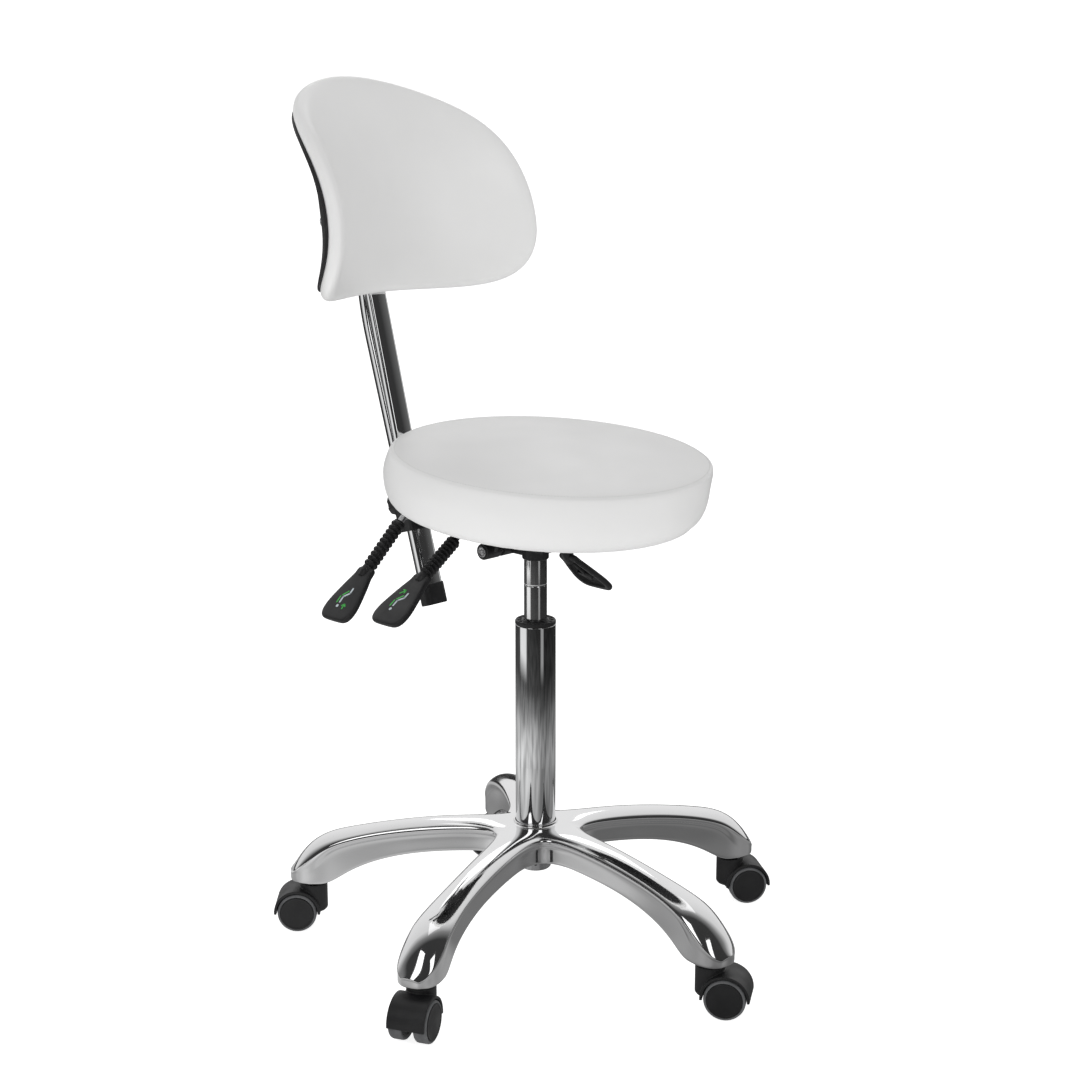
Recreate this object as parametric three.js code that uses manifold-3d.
// Dentist stool: five-arm polished base on twin-wheel casters, gas lift, tilting round seat and a
// wrap-round backrest on a sliding upright, worked by three levers under the seat.
// Millimetres, +Z up, origin on the floor under the gas-lift column, front at -Y, sitter's right at -X.
import * as THREE from "three";
import { mergeVertices } from "three/addons/utils/BufferGeometryUtils.js";
import Module from "manifold-3d";

const wasm = await Module();
wasm.setup();

// ---- driving dimensions -------------------------------------------------------------------------
const ARM_ANGLES = [54, 126, 198, 270, 342];
const TRAIL_ANGLES = [105, 135, 205, 303, 325];
const STEM_CIRCLE = 287;
const ARM_UNDERSIDE = 65;
const WHEEL_RADIUS = 25;
const CASTER_TRAIL = 20;
const HUB_BOTTOM = 117;
const HUB_TOP = 159;
const COLUMN_RADIUS = 24.7;
const COLUMN_TOP = 414;
const CYLINDER_RADIUS = 14;
const CYLINDER_BOTTOM = 185;
const SOCKET_BOTTOM = 495.5;
const TILT_PIN = { y: 34, z: 507 };
const BACK_PIN = { y: 118, z: 533 };
const SEAT_CENTRE = { y: -28, z: 626.5 };
const SEAT_TILT = 4.84;
const SEAT_SEAM_RADIUS = 190.3;
const SEAT_DEPTH = 68;
const TUBE_WIDTH = 32;
const TUBE_DEPTH = 16;
const TUBE_WALL = 1.6;
const TUBE_FOOT = { y: 184.7, z: 411 };
const TUBE_BEND = { y: 293, z: 762 };
const TUBE_TOP_Z = 905;
const BACK_LEAN = 11;
const BACK_ORIGIN = { y: 270.8, z: 867 };
const BACK_RADIUS = 171.7;
const BACK_ARC = 208.8;
const BACK_RISE = 209.3;
const BACK_DROP = 91.5;
const BACK_DIP = 19.5;
const PAD_HALF = 11;
const SHELL_THICKNESS = 3.5;
const GAP = 0.35;

const rad = THREE.MathUtils.degToRad;

// ---- solid helpers ------------------------------------------------------------------------------
function bare(geometry) {
  const flat = geometry.index ? geometry.toNonIndexed() : geometry;
  const out = new THREE.BufferGeometry();
  out.setAttribute("position", flat.getAttribute("position").clone());
  return out;
}

function signedVolume(geometry) {
  const p = geometry.getAttribute("position");
  const a = new THREE.Vector3();
  const b = new THREE.Vector3();
  const c = new THREE.Vector3();
  let volume = 0;
  for (let i = 0; i < p.count; i += 3) {
    a.fromBufferAttribute(p, i);
    b.fromBufferAttribute(p, i + 1);
    c.fromBufferAttribute(p, i + 2);
    volume += a.dot(b.cross(c)) / 6;
  }
  return volume;
}

// Turns every face round when the surface faces inwards.
function outward(geometry) {
  const out = bare(geometry);
  if (signedVolume(out) >= 0) return out;
  const array = out.getAttribute("position").array;
  for (let i = 0; i < array.length; i += 9) {
    for (let k = 0; k < 3; k++) {
      const swap = array[i + 3 + k];
      array[i + 3 + k] = array[i + 6 + k];
      array[i + 6 + k] = swap;
    }
  }
  return out;
}

function toSolid(geometry) {
  const merged = mergeVertices(outward(geometry), 1e-4);
  return new wasm.Manifold(
    new wasm.Mesh({
      numProp: 3,
      vertProperties: merged.getAttribute("position").array,
      triVerts: new Uint32Array(merged.index.array),
    }),
  );
}

function toGeometry(solid) {
  const mesh = solid.getMesh();
  const out = new THREE.BufferGeometry();
  const positions = new Float32Array(mesh.triVerts.length * 3);
  for (let i = 0; i < mesh.triVerts.length; i++) {
    for (let k = 0; k < 3; k++) {
      positions[3 * i + k] = mesh.vertProperties[mesh.triVerts[i] * mesh.numProp + k];
    }
  }
  out.setAttribute("position", new THREE.BufferAttribute(positions, 3));
  return out;
}

function join(...geometries) {
  let solid = toSolid(geometries[0]);
  for (const g of geometries.slice(1)) solid = solid.add(toSolid(g));
  return toGeometry(solid);
}

function cut(geometry, ...tools) {
  let solid = toSolid(geometry);
  for (const g of tools) solid = solid.subtract(toSolid(g));
  return toGeometry(solid);
}

// Turned solid about Z from [radius, z] pairs that start and end on the axis or close on themselves.
function turned(points, segments = 24) {
  const profile = points.map(([r, z]) => new THREE.Vector2(r, z));
  return new THREE.LatheGeometry(profile, segments).rotateX(Math.PI / 2);
}

// Ring turned from a closed loop of [radius, z] pairs.
function turnedRing(points, segments = 24) {
  return turned([...points, points[0]], segments);
}

function box(x0, x1, y0, y1, z0, z1) {
  return new THREE.BoxGeometry(x1 - x0, y1 - y0, z1 - z0).translate(
    (x0 + x1) / 2,
    (y0 + y1) / 2,
    (z0 + z1) / 2,
  );
}

// Round bar from one point to another.
function bar(from, to, radius, segments = 12, endRadius = radius) {
  const a = new THREE.Vector3(...from);
  const b = new THREE.Vector3(...to);
  const length = a.distanceTo(b);
  const turn = new THREE.Quaternion().setFromUnitVectors(
    new THREE.Vector3(0, 1, 0),
    b.clone().sub(a).normalize(),
  );
  return new THREE.CylinderGeometry(endRadius, radius, length, segments)
    .applyQuaternion(turn)
    .translate(...a.add(b).multiplyScalar(0.5).toArray());
}

// Skin through equal-count stations { origin, u, v, points }, each point [a, b] = origin + a u + b v.
function skinned(stations) {
  const rings = stations.map((s) =>
    s.points.map(([a, b]) =>
      s.origin.clone().addScaledVector(s.u, a).addScaledVector(s.v, b),
    ),
  );
  const vertices = [];
  const push = (...list) => list.forEach((p) => vertices.push(p.x, p.y, p.z));
  const count = rings[0].length;
  for (let i = 0; i + 1 < rings.length; i++) {
    for (let j = 0; j < count; j++) {
      const k = (j + 1) % count;
      push(rings[i][j], rings[i][k], rings[i + 1][k]);
      push(rings[i][j], rings[i + 1][k], rings[i + 1][j]);
    }
  }
  const capOf = (station, ring, flip) => {
    const flat = station.points.map(([a, b]) => new THREE.Vector2(a, b));
    for (const [a, b, c] of THREE.ShapeUtils.triangulateShape(flat, [])) {
      if (flip) push(ring[c], ring[b], ring[a]);
      else push(ring[a], ring[b], ring[c]);
    }
  };
  capOf(stations[0], rings[0], true);
  capOf(stations[stations.length - 1], rings[rings.length - 1], false);
  const out = new THREE.BufferGeometry();
  out.setAttribute("position", new THREE.Float32BufferAttribute(vertices, 3));
  return out;
}

function roundedRectangle(width, depth, radius, steps = 3) {
  const points = [];
  const corners = [
    [1, 1, 0],
    [-1, 1, 90],
    [-1, -1, 180],
    [1, -1, 270],
  ];
  for (const [sx, sy, start] of corners) {
    for (let i = 0; i <= steps; i++) {
      const angle = rad(start + (90 * i) / steps);
      points.push([
        sx * (width / 2 - radius) + radius * Math.cos(angle),
        sy * (depth / 2 - radius) + radius * Math.sin(angle),
      ]);
    }
  }
  return points;
}

function interpolate(table, at) {
  for (let i = 0; i + 1 < table.length; i++) {
    const [x0, y0] = table[i];
    const [x1, y1] = table[i + 1];
    if (at <= x1) return y0 + ((y1 - y0) * (at - x0)) / (x1 - x0);
  }
  return table[table.length - 1][1];
}

// ---- assembly -----------------------------------------------------------------------------------
const stool = new THREE.Group();
stool.name = "dentist_stool";

function add(name, geometry, look) {
  const finished = outward(geometry);
  finished.computeVertexNormals();
  const mesh = new THREE.Mesh(finished, new THREE.MeshStandardMaterial(look));
  mesh.name = name;
  stool.add(mesh);
  return mesh;
}

const POLISHED = { color: 0xc9cbcd, metalness: 1, roughness: 0.16 };
const CHROME = { color: 0xd6d8da, metalness: 1, roughness: 0.08 };
const STEEL = { color: 0x9a9c9e, metalness: 1, roughness: 0.35 };
const BLACK_METAL = { color: 0x1c1c1e, metalness: 0.2, roughness: 0.5 };
const BLACK_PLASTIC = { color: 0x1a1a1b, metalness: 0, roughness: 0.55 };
const TREAD_GREY = { color: 0x4a4b4d, metalness: 0, roughness: 0.7 };
const WHITE_VINYL = { color: 0xf0f0ee, metalness: 0, roughness: 0.45 };
const RUBBER = { color: 0x222223, metalness: 0, roughness: 0.8 };
const BIRCH = { color: 0xb99a6b, metalness: 0, roughness: 0.7 };

// ---- star base ----------------------------------------------------------------------------------
const ARM_TOP = [[20, 158.5], [63, 159.5], [90, 159], [121, 156.5], [173, 149], [205, 143], [240, 135], [258, 131]];
const ARM_BOTTOM = [[20, 122], [45, 122], [83, 120], [135, 115], [187, 104], [226, 89], [252, 75], [258, 71]];
const ARM_HALF = [[20, 22], [40, 22], [80, 20.5], [130, 19], [180, 18.5], [225, 20.5], [258, 24]];

// Rolled top skin over inset side walls, open underneath as a channel.
function armSection(r) {
  const top = interpolate(ARM_TOP, r);
  const bottom = interpolate(ARM_BOTTOM, r);
  const half = interpolate(ARM_HALF, r);
  const wall = half - 4.5;
  const side = [
    [wall, bottom],
    [wall + 0.5, top - 12],
    [half - 1, top - 10],
    [half, top - 7],
    [half * 0.88, top - 3],
    [half * 0.5, top - 0.6],
  ];
  const inner = [
    [-(wall - 3.2), bottom],
    [-(wall - 3.8), top - 8],
    [wall - 3.8, top - 8],
    [wall - 3.2, bottom],
  ];
  const mirrored = side.slice().reverse().map(([a, b]) => [-a, b]);
  return [...side, [0, top], ...mirrored, ...inner];
}

function armBody() {
  const stations = [22, 60, 100, 145, 185, 225, 258.2].map((r) => ({
    origin: new THREE.Vector3(r, 0, 0),
    u: new THREE.Vector3(0, 1, 0),
    v: new THREE.Vector3(0, 0, 1),
    points: armSection(r),
  }));
  return skinned(stations);
}

// Rounded end that turns down from the arm onto the caster.
function armTip() {
  const reach = [[0, 66.2], [12, 63.5], [25, 61], [37, 59], [61, 56.5], [79, 57], [90, 57.5]];
  const pivot = new THREE.Vector3(257.8, 0, ARM_UNDERSIDE);
  const stations = [0, 18, 36, 54, 72, 90].map((angle) => {
    const d = interpolate(reach, angle);
    const w = 24 + angle / 60;
    const half = [[w, 4], [w, d - 12], [w * 0.93, d - 6], [w * 0.72, d - 2], [w * 0.4, d - 0.4]];
    const mirrored = half.slice().reverse().map(([a, b]) => [-a, b]);
    return {
      origin: pivot,
      u: new THREE.Vector3(0, 1, 0),
      v: new THREE.Vector3(Math.sin(rad(angle)), 0, Math.cos(rad(angle))),
      points: [...half, [0, d], ...mirrored],
    };
  });
  return skinned(stations);
}

function baseStar() {
  const hub = turned([
    [0, HUB_BOTTOM], [29, HUB_BOTTOM], [30, HUB_BOTTOM + 2], [33, HUB_TOP - 4], [30, HUB_TOP - 0.5],
    [27.4, HUB_TOP], [27.4, HUB_TOP + 2], [26.4, HUB_TOP + 2.8], [0, HUB_TOP + 2.8],
  ], 32);
  const skin = turned([[0, 147], [55, 147], [57, 149], [57, 152], [54, 156.5], [40, HUB_TOP - 0.6], [0, HUB_TOP - 0.6]], 30);
  const web = turned([[0, 121], [54, 121], [54, 148], [0, 148]], 30);
  const skinCuts = [];
  const webCuts = [];
  for (const angle of ARM_ANGLES) {
    const mid = rad(angle + 36);
    const x = 68 * Math.cos(mid);
    const y = 68 * Math.sin(mid);
    skinCuts.push(bar([x, y, 100], [x, y, 200], 18, 20));
    webCuts.push(bar([x, y, 100], [x, y, 200], 23, 20));
  }
  const pieces = [hub, cut(skin, ...skinCuts), cut(web, ...webCuts)];
  const arm = join(armBody(), armTip());
  for (const angle of ARM_ANGLES) pieces.push(arm.clone().rotateZ(rad(angle)));
  const tools = [turned([[0, 90], [24.1, 90], [24.1, 118], [25.05, 165], [0, 165]], 32)];
  for (const angle of ARM_ANGLES) {
    const x = STEM_CIRCLE * Math.cos(rad(angle));
    const y = STEM_CIRCLE * Math.sin(rad(angle));
    tools.push(bar([x, y, 50], [x, y, 101], 5.75, 10));
  }
  return cut(join(...pieces), ...tools);
}
add("base_star", baseStar(), POLISHED);

// ---- gas-lift column ----------------------------------------------------------------------------
const columnTube = turnedRing([
  [6, 119], [22.6, 119], [23.7, 121], [24.6, 160], [25, 235], [COLUMN_RADIUS, COLUMN_TOP],
  [22.6, COLUMN_TOP], [22.6, 122.2], [6, 122.2],
], 32);
add("column_tube", columnTube, CHROME);

const retainerHoles = [];
for (let i = 0; i < 8; i++) {
  const a = rad(45 * i);
  const from = [10 * Math.cos(a), 10 * Math.sin(a), 108];
  const to = [24 * Math.cos(a), 24 * Math.sin(a), 108];
  retainerHoles.push(bar(from, to, 1.9, 6));
}
const retainerCup = turnedRing([
  [4.6, 99], [17.5, 99], [19, 100.5], [19, 118.6], [16, 118.6], [16, 102], [4.6, 102],
], 24);
add("column_retainer", cut(retainerCup, ...retainerHoles), STEEL);

const bushing = turnedRing([
  [14.45, 330], [22.2, 330], [22.2, COLUMN_TOP + GAP], [24.9, COLUMN_TOP + GAP], [24.9, 418.5],
  [24, 419.5], [15.2, 419.5], [14.45, 418.7],
], 28);
add("column_bushing", bushing, BLACK_PLASTIC);

add("thrust_bearing", turnedRing([[5.6, 122.6], [14, 122.6], [14, 128], [5.6, 128]], 24), STEEL);
add("rubber_bumper", turnedRing([[5.6, 128.4], [11.5, 128.4], [11.5, 136], [5.6, 136]], 20), RUBBER);

const pistonRod = turned([
  [0, 103.5], [5, 103.5], [5, 105], [12, 105], [12, 108], [5, 108], [5, 296], [11, 296], [11, 308], [0, 308],
], 20);
add("piston_rod", pistonRod, STEEL);

// ---- carrier: inner cylinder, release pin and tilt mechanism -------------------------------------
const innerCylinder = turned([
  [0, 470], [11.4, 470], [11.4, 197], [5.4, 197], [5.4, CYLINDER_BOTTOM], [13, CYLINDER_BOTTOM],
  [CYLINDER_RADIUS, 187], [CYLINDER_RADIUS, 488], [13.2, 538], [3.4, 538], [3.4, 524], [0, 524],
], 28);
add("inner_cylinder", innerCylinder, CHROME);
add("release_pin", turned([[0, 524.4], [3, 524.4], [3, 545.5], [2.2, 546.5], [0, 546.5]], 12), STEEL);

function mechanismChassis() {
  const socket = turned([
    [0, SOCKET_BOTTOM], [15.6, SOCKET_BOTTOM], [16.3, 496.5], [16.3, 508], [22, 514], [22, 537], [0, 537],
  ], 24);
  const front = box(-30, 30, -42, 24, 512, 536);
  const rear = cut(box(-32, 32, 20, 166, 514, 550), box(-29, 29, 23, 163, 517, 552));
  const boss = bar([-27.5, TILT_PIN.y, TILT_PIN.z], [27.5, TILT_PIN.y, TILT_PIN.z], 9.75, 20);
  const neck = box(-14, 14, 8, TILT_PIN.y, 500, 516);
  const body = join(socket, front, rear, boss, neck);
  const pins = [
    bar([-22, 22, 538], [-22, 68, 538], 2.5, 8),
    bar([-22, 141, 538], [-22, 164, 538], 2.5, 8),
    bar([18, -30, 523.5], [18, -10, 523.5], 2, 8),
  ];
  const hollowed = cut(
    body,
    turned([[0, 490], [14.45, 490], [13.6, 540], [0, 540]], 24),
    bar([-40, TILT_PIN.y, TILT_PIN.z], [40, TILT_PIN.y, TILT_PIN.z], 6.85, 16),
    bar([-40, BACK_PIN.y, BACK_PIN.z], [40, BACK_PIN.y, BACK_PIN.z], 5.3, 14),
    box(-15, 15, 138, 170, 505, 555),
    box(-40, -26, 53, 67, 522, 555),
    box(-40, -26, 143, 157, 522, 555),
    box(11, 40, -26.2, -13.8, 505, 531),
  );
  return join(hollowed, ...pins);
}
add("mechanism_chassis", mechanismChassis(), BLACK_METAL);
const tiltPin = [[0, -58], [5.6, -58], [6.5, -57], [6.5, 57], [5.6, 58], [0, 58]];
add("tilt_pin", turned(tiltPin, 16).rotateY(Math.PI / 2).translate(0, TILT_PIN.y, TILT_PIN.z), CHROME);
add("back_pin", bar([-38, BACK_PIN.y, BACK_PIN.z], [38, BACK_PIN.y, BACK_PIN.z], 5, 14), STEEL);

// ---- seat ---------------------------------------------------------------------------------------
function onSeat(geometry) {
  return geometry.rotateX(rad(SEAT_TILT)).translate(0, SEAT_CENTRE.y, SEAT_CENTRE.z);
}

const cushion = turned([
  [0, -SEAT_DEPTH + 8], [172, -SEAT_DEPTH + 8], [172, -64], [178.5, -64], [184, -61.5], [188.5, -55],
  [191.5, -46], [193.6, -34], [194.3, -22], [193, -8], [SEAT_SEAM_RADIUS, 0], [182, 4.5], [160, 7],
  [130, 8], [0, 8],
], 48);
// The side band sags a little towards the sitter's back right.
const sag = cushion.getAttribute("position");
for (let i = 0; i < sag.count; i++) {
  if (Math.hypot(sag.getX(i), sag.getY(i)) < 174 || sag.getZ(i) >= 0) continue;
  const share = Math.min(1, -sag.getZ(i) / 22);
  sag.setXYZ(i, sag.getX(i) - 4.5 * share, sag.getY(i) + 2 * share, sag.getZ(i));
}
add("seat_cushion", onSeat(cushion), WHITE_VINYL);
const board = turned([[0, -SEAT_DEPTH], [171.5, -SEAT_DEPTH], [171.5, -SEAT_DEPTH + 7.6], [0, -SEAT_DEPTH + 7.6]], 48);
add("seat_board", onSeat(board), BIRCH);

function seatPlate() {
  const outline = roundedRectangle(190, 150, 24, 4).map(([x, y]) => new THREE.Vector2(x, y + 42));
  const sheet = new THREE.ExtrudeGeometry(new THREE.Shape(outline), { depth: 3, bevelEnabled: false });
  const plate = onSeat(sheet.translate(0, 0, -SEAT_DEPTH - 3.4));
  const pieces = [plate];
  for (const side of [-1, 1]) {
    pieces.push(bar([side * 33, TILT_PIN.y, TILT_PIN.z], [side * 56, TILT_PIN.y, TILT_PIN.z], 9.75, 20));
    const ear = new THREE.Shape([
      new THREE.Vector2(TILT_PIN.y - 9, TILT_PIN.z - 3),
      new THREE.Vector2(TILT_PIN.y + 9, TILT_PIN.z - 3),
      new THREE.Vector2(TILT_PIN.y + 11, 564),
      new THREE.Vector2(TILT_PIN.y - 32, 560.4),
    ]);
    const web = new THREE.ExtrudeGeometry(ear, { depth: 6, bevelEnabled: false });
    web.rotateY(Math.PI / 2).rotateX(Math.PI / 2);
    pieces.push(web.translate(side * 44 - 3, 0, 0));
  }
  const bore = bar([-70, TILT_PIN.y, TILT_PIN.z], [70, TILT_PIN.y, TILT_PIN.z], 6.8, 16);
  return cut(join(...pieces), bore);
}
add("seat_plate", seatPlate(), BLACK_METAL);

// ---- back bracket, knob, upright tube -----------------------------------------------------------
const tubeLean = Math.atan2(TUBE_BEND.y - TUBE_FOOT.y, TUBE_BEND.z - TUBE_FOOT.z);
const topLean = rad(BACK_LEAN - 1.4);
const tubeUp = new THREE.Vector3(0, Math.sin(tubeLean), Math.cos(tubeLean));
const tubeBack = new THREE.Vector3(0, Math.cos(tubeLean), -Math.sin(tubeLean));

// Point on the straight lower part of the upright, s along it from the foot.
function onTube(s, x = 0, back = 0) {
  return new THREE.Vector3(x, TUBE_FOOT.y, TUBE_FOOT.z).addScaledVector(tubeUp, s).addScaledVector(tubeBack, back);
}

function tubeStations(width, depth, radius, extend) {
  const straight = Math.hypot(TUBE_BEND.y - TUBE_FOOT.y, TUBE_BEND.z - TUBE_FOOT.z);
  const upper = (TUBE_TOP_Z - TUBE_BEND.z) / Math.cos(topLean);
  const bend = new THREE.Vector3(0, TUBE_BEND.y, TUBE_BEND.z);
  const topUp = new THREE.Vector3(0, Math.sin(topLean), Math.cos(topLean));
  const middle = (tubeLean + topLean) / 2;
  const list = [
    [onTube(-extend), tubeLean],
    [onTube(straight - 22), tubeLean],
    [bend.clone().add(new THREE.Vector3(0, -0.7, 0)), middle],
    [bend.clone().addScaledVector(topUp, 22), topLean],
    [bend.clone().addScaledVector(topUp, upper + extend), topLean],
  ];
  return list.map(([origin, lean]) => ({
    origin,
    u: new THREE.Vector3(1, 0, 0),
    v: new THREE.Vector3(0, Math.cos(lean), -Math.sin(lean)),
    points: roundedRectangle(width, depth, radius, 3),
  }));
}

function tubeRun(width, depth, radius, s0, s1) {
  return skinned([s0, s1].map((s) => ({
    origin: onTube(s),
    u: new THREE.Vector3(1, 0, 0),
    v: tubeBack,
    points: roundedRectangle(width, depth, radius, 3),
  })));
}

const bore = skinned(tubeStations(TUBE_WIDTH - 2 * TUBE_WALL, TUBE_DEPTH - 2 * TUBE_WALL, 4.4, 5));
add("back_tube", cut(skinned(tubeStations(TUBE_WIDTH, TUBE_DEPTH, 6, 0)), bore), CHROME);

const capBody = tubeRun(TUBE_WIDTH + 3.4, TUBE_DEPTH + 3.4, 7, -8, 19);
const capPocket = tubeRun(TUBE_WIDTH + 2 * GAP, TUBE_DEPTH + 2 * GAP, 6.3, -GAP, 24);
add("back_tube_cap", cut(capBody, capPocket), BLACK_PLASTIC);

const clampFoot = (497 - TUBE_FOOT.z) / Math.cos(tubeLean);
const clampHead = (563 - TUBE_FOOT.z) / Math.cos(tubeLean);
const knobAt = (533 - TUBE_FOOT.z) / Math.cos(tubeLean);

function backBracket() {
  const block = tubeRun(TUBE_WIDTH + 16, TUBE_DEPTH + 12, 6, clampFoot, clampHead);
  const tongue = box(-12, 12, BACK_PIN.y - 9, 214, BACK_PIN.z - 7, BACK_PIN.z + 7);
  const eye = bar([-12, BACK_PIN.y, BACK_PIN.z], [12, BACK_PIN.y, BACK_PIN.z], 9, 16);
  const gusset = new THREE.ExtrudeGeometry(
    new THREE.Shape([
      new THREE.Vector2(172, BACK_PIN.z - 3),
      new THREE.Vector2(201, 500),
      new THREE.Vector2(215, 500),
      new THREE.Vector2(222, 556),
      new THREE.Vector2(206, 556),
      new THREE.Vector2(176, BACK_PIN.z + 3),
    ]),
    { depth: 16, bevelEnabled: false },
  ).rotateY(Math.PI / 2).rotateX(Math.PI / 2).translate(-8, 0, 0);
  const screwFrom = onTube(knobAt, 0, 4).toArray();
  const screwTo = onTube(knobAt, 0, 40).toArray();
  return cut(
    join(block, tongue, eye, gusset),
    tubeRun(TUBE_WIDTH + 2 * GAP, TUBE_DEPTH + 2 * GAP, 6.3, clampFoot - 5, clampHead + 5),
    bar([-20, BACK_PIN.y, BACK_PIN.z], [20, BACK_PIN.y, BACK_PIN.z], 5.3, 14),
    bar(screwFrom, screwTo, 4.4, 12),
  );
}
add("back_bracket", backBracket(), BLACK_METAL);

function backKnob() {
  const stem = bar(onTube(knobAt, 0, 8.8).toArray(), onTube(knobAt, 0, 18).toArray(), 4, 12);
  const grip = bar(onTube(knobAt, 0, 15).toArray(), onTube(knobAt, 0, 31).toArray(), 16, 20, 17);
  const crown = bar(onTube(knobAt, 0, 30.9).toArray(), onTube(knobAt, 0, 34).toArray(), 16, 20, 12);
  const flutes = [];
  for (let i = 0; i < 6; i++) {
    const a = rad(60 * i);
    const x = 22 * Math.cos(a);
    const along = 22 * Math.sin(a);
    const from = onTube(knobAt + along, x, 10).toArray();
    const to = onTube(knobAt + along, x, 40).toArray();
    flutes.push(bar(from, to, 7, 12));
  }
  return cut(join(stem, grip, crown), ...flutes);
}
add("back_knob", backKnob(), BLACK_PLASTIC);

// ---- backrest -----------------------------------------------------------------------------------
// Lean of the backrest from upright at a rise: it turns back towards the top and under at the bottom.
const backLean = (rise) => 0.111 + 0.311 * (rise / 100) - 0.045 * (rise / 100) ** 2;

// Point of the curved backrest: arc along its width, rise up its middle line, offset towards the sitter.
function backPoint(arc, rise, offset) {
  let y = BACK_ORIGIN.y;
  let z = BACK_ORIGIN.z;
  for (let i = 0; i < 24; i++) {
    const lean = backLean((rise * (i + 0.5)) / 24);
    y += (Math.sin(lean) * rise) / 24;
    z += (Math.cos(lean) * rise) / 24;
  }
  const share = rise / 100;
  const turn = BACK_RADIUS / (1 + 0.124 * share - 0.174 * share ** 2);
  const angle = arc / turn;
  const ahead = turn - (turn - offset) * Math.cos(angle);
  const lean = backLean(rise);
  return new THREE.Vector3(
    (turn - offset) * Math.sin(angle),
    y - ahead * Math.cos(lean),
    z + ahead * Math.sin(lean),
  );
}

// Domed top with sloping shoulders, rounded lower corners and a hollow bottom edge.
function backOutline(turn, scale) {
  const c = Math.cos(turn);
  const s = Math.sin(turn);
  let arc = c * BACK_ARC * (1 - 0.168 * Math.max(0, s) ** 1.5);
  let rise = s * BACK_RISE;
  if (s < 0) {
    const power = 2 / 2.252;
    arc = Math.sign(c) * Math.abs(c) ** power * BACK_ARC;
    rise = -(Math.abs(s) ** power);
    rise = rise * BACK_DROP - rise * BACK_DIP * (1 - (arc / BACK_ARC) ** 2);
  }
  return [arc * scale, (rise - 50) * scale + 50];
}

// Closed cushion or shell from rings of [scale, offset] running from one centre to the other.
function backSkin(rings, around) {
  const grid = rings.map(([scale, offset]) => {
    if (scale === 0) return [backPoint(0, 50, offset)];
    const ring = [];
    for (let i = 0; i < around; i++) {
      const [arc, rise] = backOutline((2 * Math.PI * i) / around, scale);
      ring.push(backPoint(arc, rise, offset));
    }
    return ring;
  });
  const vertices = [];
  const push = (...list) => list.forEach((p) => vertices.push(p.x, p.y, p.z));
  for (let r = 0; r + 1 < grid.length; r++) {
    const a = grid[r];
    const b = grid[r + 1];
    for (let i = 0; i < around; i++) {
      const k = (i + 1) % around;
      if (a.length === 1) push(a[0], b[i], b[k]);
      else if (b.length === 1) push(a[i], b[0], a[k]);
      else if (rings[r + 1][0] < rings[r][0]) {
        push(a[i], b[i], a[k]);
        push(a[k], b[i], b[k]);
      } else {
        push(a[i], b[i], b[k]);
        push(a[i], b[k], a[k]);
      }
    }
  }
  const out = new THREE.BufferGeometry();
  out.setAttribute("position", new THREE.Float32BufferAttribute(vertices, 3));
  return out;
}

const padRings = [
  [0, PAD_HALF], [0.35, PAD_HALF], [0.66, PAD_HALF], [0.9, PAD_HALF - 0.5], [0.965, 7.5], [1, 0],
  [0.975, -6.5], [0.945, -PAD_HALF + 1.5], [0.9, -PAD_HALF], [0.6, -PAD_HALF], [0.3, -PAD_HALF], [0, -PAD_HALF],
];
add("back_pad", backSkin(padRings, 40), WHITE_VINYL);

const inner = -PAD_HALF - 0.5;
const outer = -PAD_HALF - 0.5 - SHELL_THICKNESS;
const shellRings = [
  [0, inner], [0.3, inner], [0.6, inner], [0.9, inner], [0.93, inner], [0.925, outer + 1.2], [0.9, outer],
  [0.6, outer], [0.3, outer], [0, outer],
];
add("back_shell", backSkin(shellRings, 40), BLACK_PLASTIC);

// Carrier screwed to the shell and clasping the top of the upright.
function backCarrier() {
  const lean = topLean;
  const up = new THREE.Vector3(0, Math.sin(lean), Math.cos(lean));
  const back = new THREE.Vector3(0, Math.cos(lean), -Math.sin(lean));
  const foot = new THREE.Vector3(0, TUBE_BEND.y, TUBE_BEND.z).addScaledVector(up, 48);
  const run = (width, depth, radius, from, to, shift) =>
    skinned([from, to].map((s) => ({
      origin: foot.clone().addScaledVector(up, s).addScaledVector(back, shift),
      u: new THREE.Vector3(1, 0, 0),
      v: back,
      points: roundedRectangle(width, depth, radius, 3),
    })));
  const sleeve = run(TUBE_WIDTH + 9, TUBE_DEPTH + 8, 8, 0, 104, 0.5);
  const socket = run(TUBE_WIDTH + 2 * GAP, TUBE_DEPTH + 2 * GAP, 6.3, -5, 98, 0);
  const block = box(-22, 22, 287.6, 304, 820, 870);
  return cut(join(sleeve, block), socket);
}
add("back_carrier", backCarrier(), BLACK_PLASTIC);

// ---- levers -------------------------------------------------------------------------------------
// Paddle outline: length from the neck, half width.
const PADDLE = [[0, 7], [10, 8.5], [28, 15], [46, 21.5], [58, 24], [67, 23], [73, 17], [75, 8]];

// Flat paddle from the end of a lever, slope below horizontal, running towards -X or +X.
function paddle(end, slope, side, width, length) {
  const outline = [
    ...PADDLE.map(([l, w]) => new THREE.Vector2(l * length, w * width)),
    ...PADDLE.slice().reverse().map(([l, w]) => new THREE.Vector2(l * length, -w * width)),
  ];
  const blade = new THREE.ExtrudeGeometry(new THREE.Shape(outline), {
    depth: 4.5,
    bevelEnabled: true,
    bevelThickness: 1.4,
    bevelSize: 1.4,
    bevelSegments: 1,
  });
  blade.translate(0, 0, -2.25).rotateY(rad(slope));
  if (side < 0) blade.rotateZ(Math.PI);
  return blade.translate(...end);
}

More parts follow.
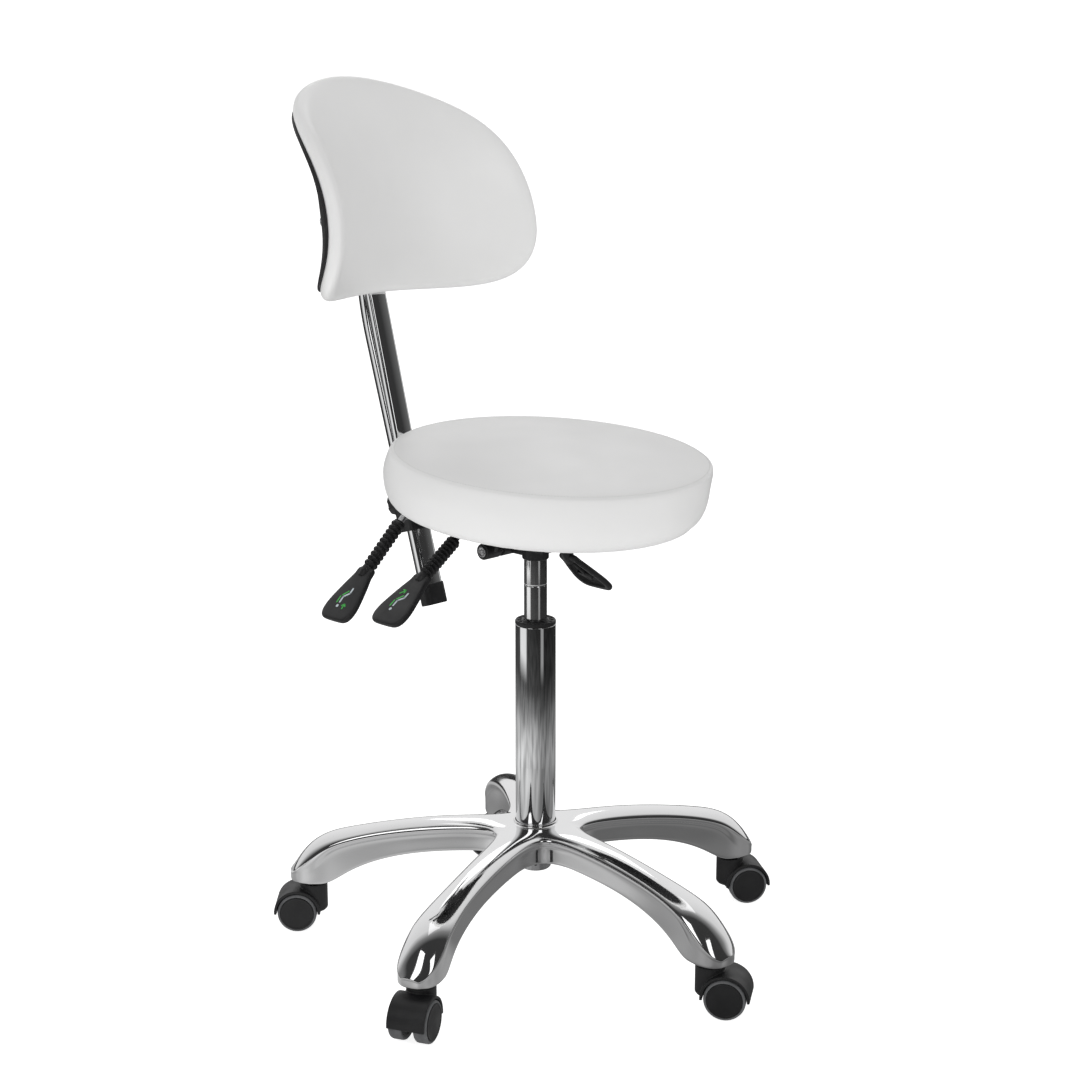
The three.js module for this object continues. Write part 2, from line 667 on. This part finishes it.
// Ribbed sleeve between two points, hollow round the lever rod.
function bellows(from, to, ribs) {
  const a = new THREE.Vector3(...from);
  const b = new THREE.Vector3(...to);
  const length = a.distanceTo(b);
  const pitch = length / ribs;
  const profile = [[4.4, 0], [6.6, 0]];
  for (let i = 0; i < ribs; i++) {
    profile.push([8.9, pitch * (i + 0.5)], [6.6, pitch * (i + 1)]);
  }
  profile.push([4.4, length]);
  const turn = new THREE.Quaternion().setFromUnitVectors(new THREE.Vector3(0, 0, 1), b.sub(a).normalize());
  return turnedRing(profile, 12).applyQuaternion(turn).translate(...from);
}

const LEVERS = [
  { name: "seat_lever", y: 60, knee: [71.6, 524.8], end: [125.7, 486], slope: 35, length: 1.03 },
  { name: "back_lever", y: 150, knee: [79.5, 535], end: [136.5, 481.3], slope: 43, length: 1 },
];
for (const lever of LEVERS) {
  const pivot = [-22, lever.y, 538];
  const knee = [-lever.knee[0], lever.y, lever.knee[1]];
  const end = [-lever.end[0], lever.y, lever.end[1]];
  const along = (t) => [knee[0] + (end[0] - knee[0]) * t, lever.y, knee[2] + (end[2] - knee[2]) * t];
  const eye = bar([-22, lever.y - 5.5, 538], [-22, lever.y + 5.5, 538], 7, 12);
  const ball = new THREE.IcosahedronGeometry(4.1, 1).translate(...knee);
  const rod = join(eye, bar(pivot, knee, 4, 10), ball, bar(knee, along(1.05), 4, 10));
  const eyeBore = bar([-22, lever.y - 8, 538], [-22, lever.y + 8, 538], 2.9, 8);
  add(lever.name + "_rod", cut(rod, eyeBore), STEEL);
  add(lever.name + "_bellows", bellows(along(0.1), along(0.985), 10), RUBBER);
  const neck = bar(along(1.0), along(1.16), 8, 12);
  const grip = join(paddle(along(1.05), lever.slope, -1, 1, lever.length), neck);
  const pocket = bar(along(0.98), along(1.056), 4.35, 10);
  add(lever.name + "_paddle", cut(grip, pocket), BLACK_PLASTIC);
}

const heightPivot = [18, -20, 523.5];
const heightKnee = [36, -20, 496];
const heightArm = join(
  bar([18, -25.5, 523.5], [18, -14.5, 523.5], 5.5, 12),
  bar(heightPivot, heightKnee, 3.6, 10),
);
const heightBore = bar([18, -30, 523.5], [18, -10, 523.5], 2.4, 8);
add("height_lever_rod", cut(heightArm, heightBore), STEEL);
const heightGrip = join(
  paddle([35, -20, 495.5], 40, 1, 1, 1),
  bar([30.5, -20, 504.4], [41, -20, 488.4], 7, 12),
);
const heightHollow = paddle([49, -20, 479], 40, 1, 0.62, 0.62);
add(
  "height_lever_paddle",
  cut(heightGrip, bar([26, -20, 511.3], [36.3, -20, 495.6], 3.95, 10), heightHollow),
  BLACK_PLASTIC,
);

// ---- casters ------------------------------------------------------------------------------------
const AXLE_Z = WHEEL_RADIUS;
const WHEEL_SEGMENTS = 20;

// Housing, trail towards +X, axle along Y, stem on the Z axis.
function casterHousing() {
  const hood = bar([CASTER_TRAIL, -22.5, AXLE_Z], [CASTER_TRAIL, 22.5, AXLE_Z], 29.2, 24);
  const socket = turned([[0, 22], [16.5, 22], [17.5, 24], [17.5, 59.4], [16.8, 60], [0, 60]], 18);
  const pieces = join(cut(hood, box(-20, 60, -30, 30, -10, 22)), socket);
  const pocket = (y0, y1) => bar([CASTER_TRAIL, y0, AXLE_Z], [CASTER_TRAIL, y1, AXLE_Z], 26.3, 20);
  const recess = turnedRing([[8.5, 54], [15, 54], [15, 62], [8.5, 62]], 12);
  const rib = join(box(-15.5, 15.5, -1, 1, 53, 59), box(-1, 1, -15.5, 15.5, 53, 59));
  return cut(
    pieces,
    pocket(6.8, 30),
    pocket(-30, -6.8),
    cut(recess, rib),
    bar([0, 0, 36.6], [0, 0, 70], 4.4, 10),
    bar([CASTER_TRAIL, -30, AXLE_Z], [CASTER_TRAIL, 30, AXLE_Z], 3.4, 8),
    box(-3, 60, -3.2, 3.2, -10, 14),
  );
}

const housing = casterHousing();
const rim = WHEEL_RADIUS / Math.cos(Math.PI / WHEEL_SEGMENTS);
const wheel = turned([
  [0, 22.4], [3.4, 22.4], [3.4, 7.2], [rim - 1.5, 7.2], [rim, 9], [rim, 20.5], [rim - 2, 24],
  [rim - 4, 24], [0, 25.2],
], WHEEL_SEGMENTS).rotateZ(Math.PI / WHEEL_SEGMENTS);
const leftWheel = wheel.clone().rotateX(-Math.PI / 2).translate(CASTER_TRAIL, 0, AXLE_Z);
const rightWheel = wheel.clone().rotateX(Math.PI / 2).translate(CASTER_TRAIL, 0, AXLE_Z);
const axle = bar([CASTER_TRAIL, -22, AXLE_Z], [CASTER_TRAIL, 22, AXLE_Z], 3, 8);
const stem = turned([
  [0, 37], [4, 37], [4, 60.5], [11, 60.5], [11, 64.6], [5.4, 64.6], [5.4, 99], [4.4, 100], [0, 100],
], 12);

ARM_ANGLES.forEach((angle, i) => {
  const name = "caster_" + (i + 1);
  const x = STEM_CIRCLE * Math.cos(rad(angle));
  const y = STEM_CIRCLE * Math.sin(rad(angle));
  const place = (g) => g.clone().rotateZ(rad(TRAIL_ANGLES[i])).translate(x, y, 0);
  add(name + "_stem", place(stem), CHROME);
  add(name + "_housing", place(housing), BLACK_PLASTIC);
  add(name + "_axle", place(axle), STEEL);
  add(name + "_wheel_left", place(leftWheel), TREAD_GREY);
  add(name + "_wheel_right", place(rightWheel), TREAD_GREY);
});

export default stool;
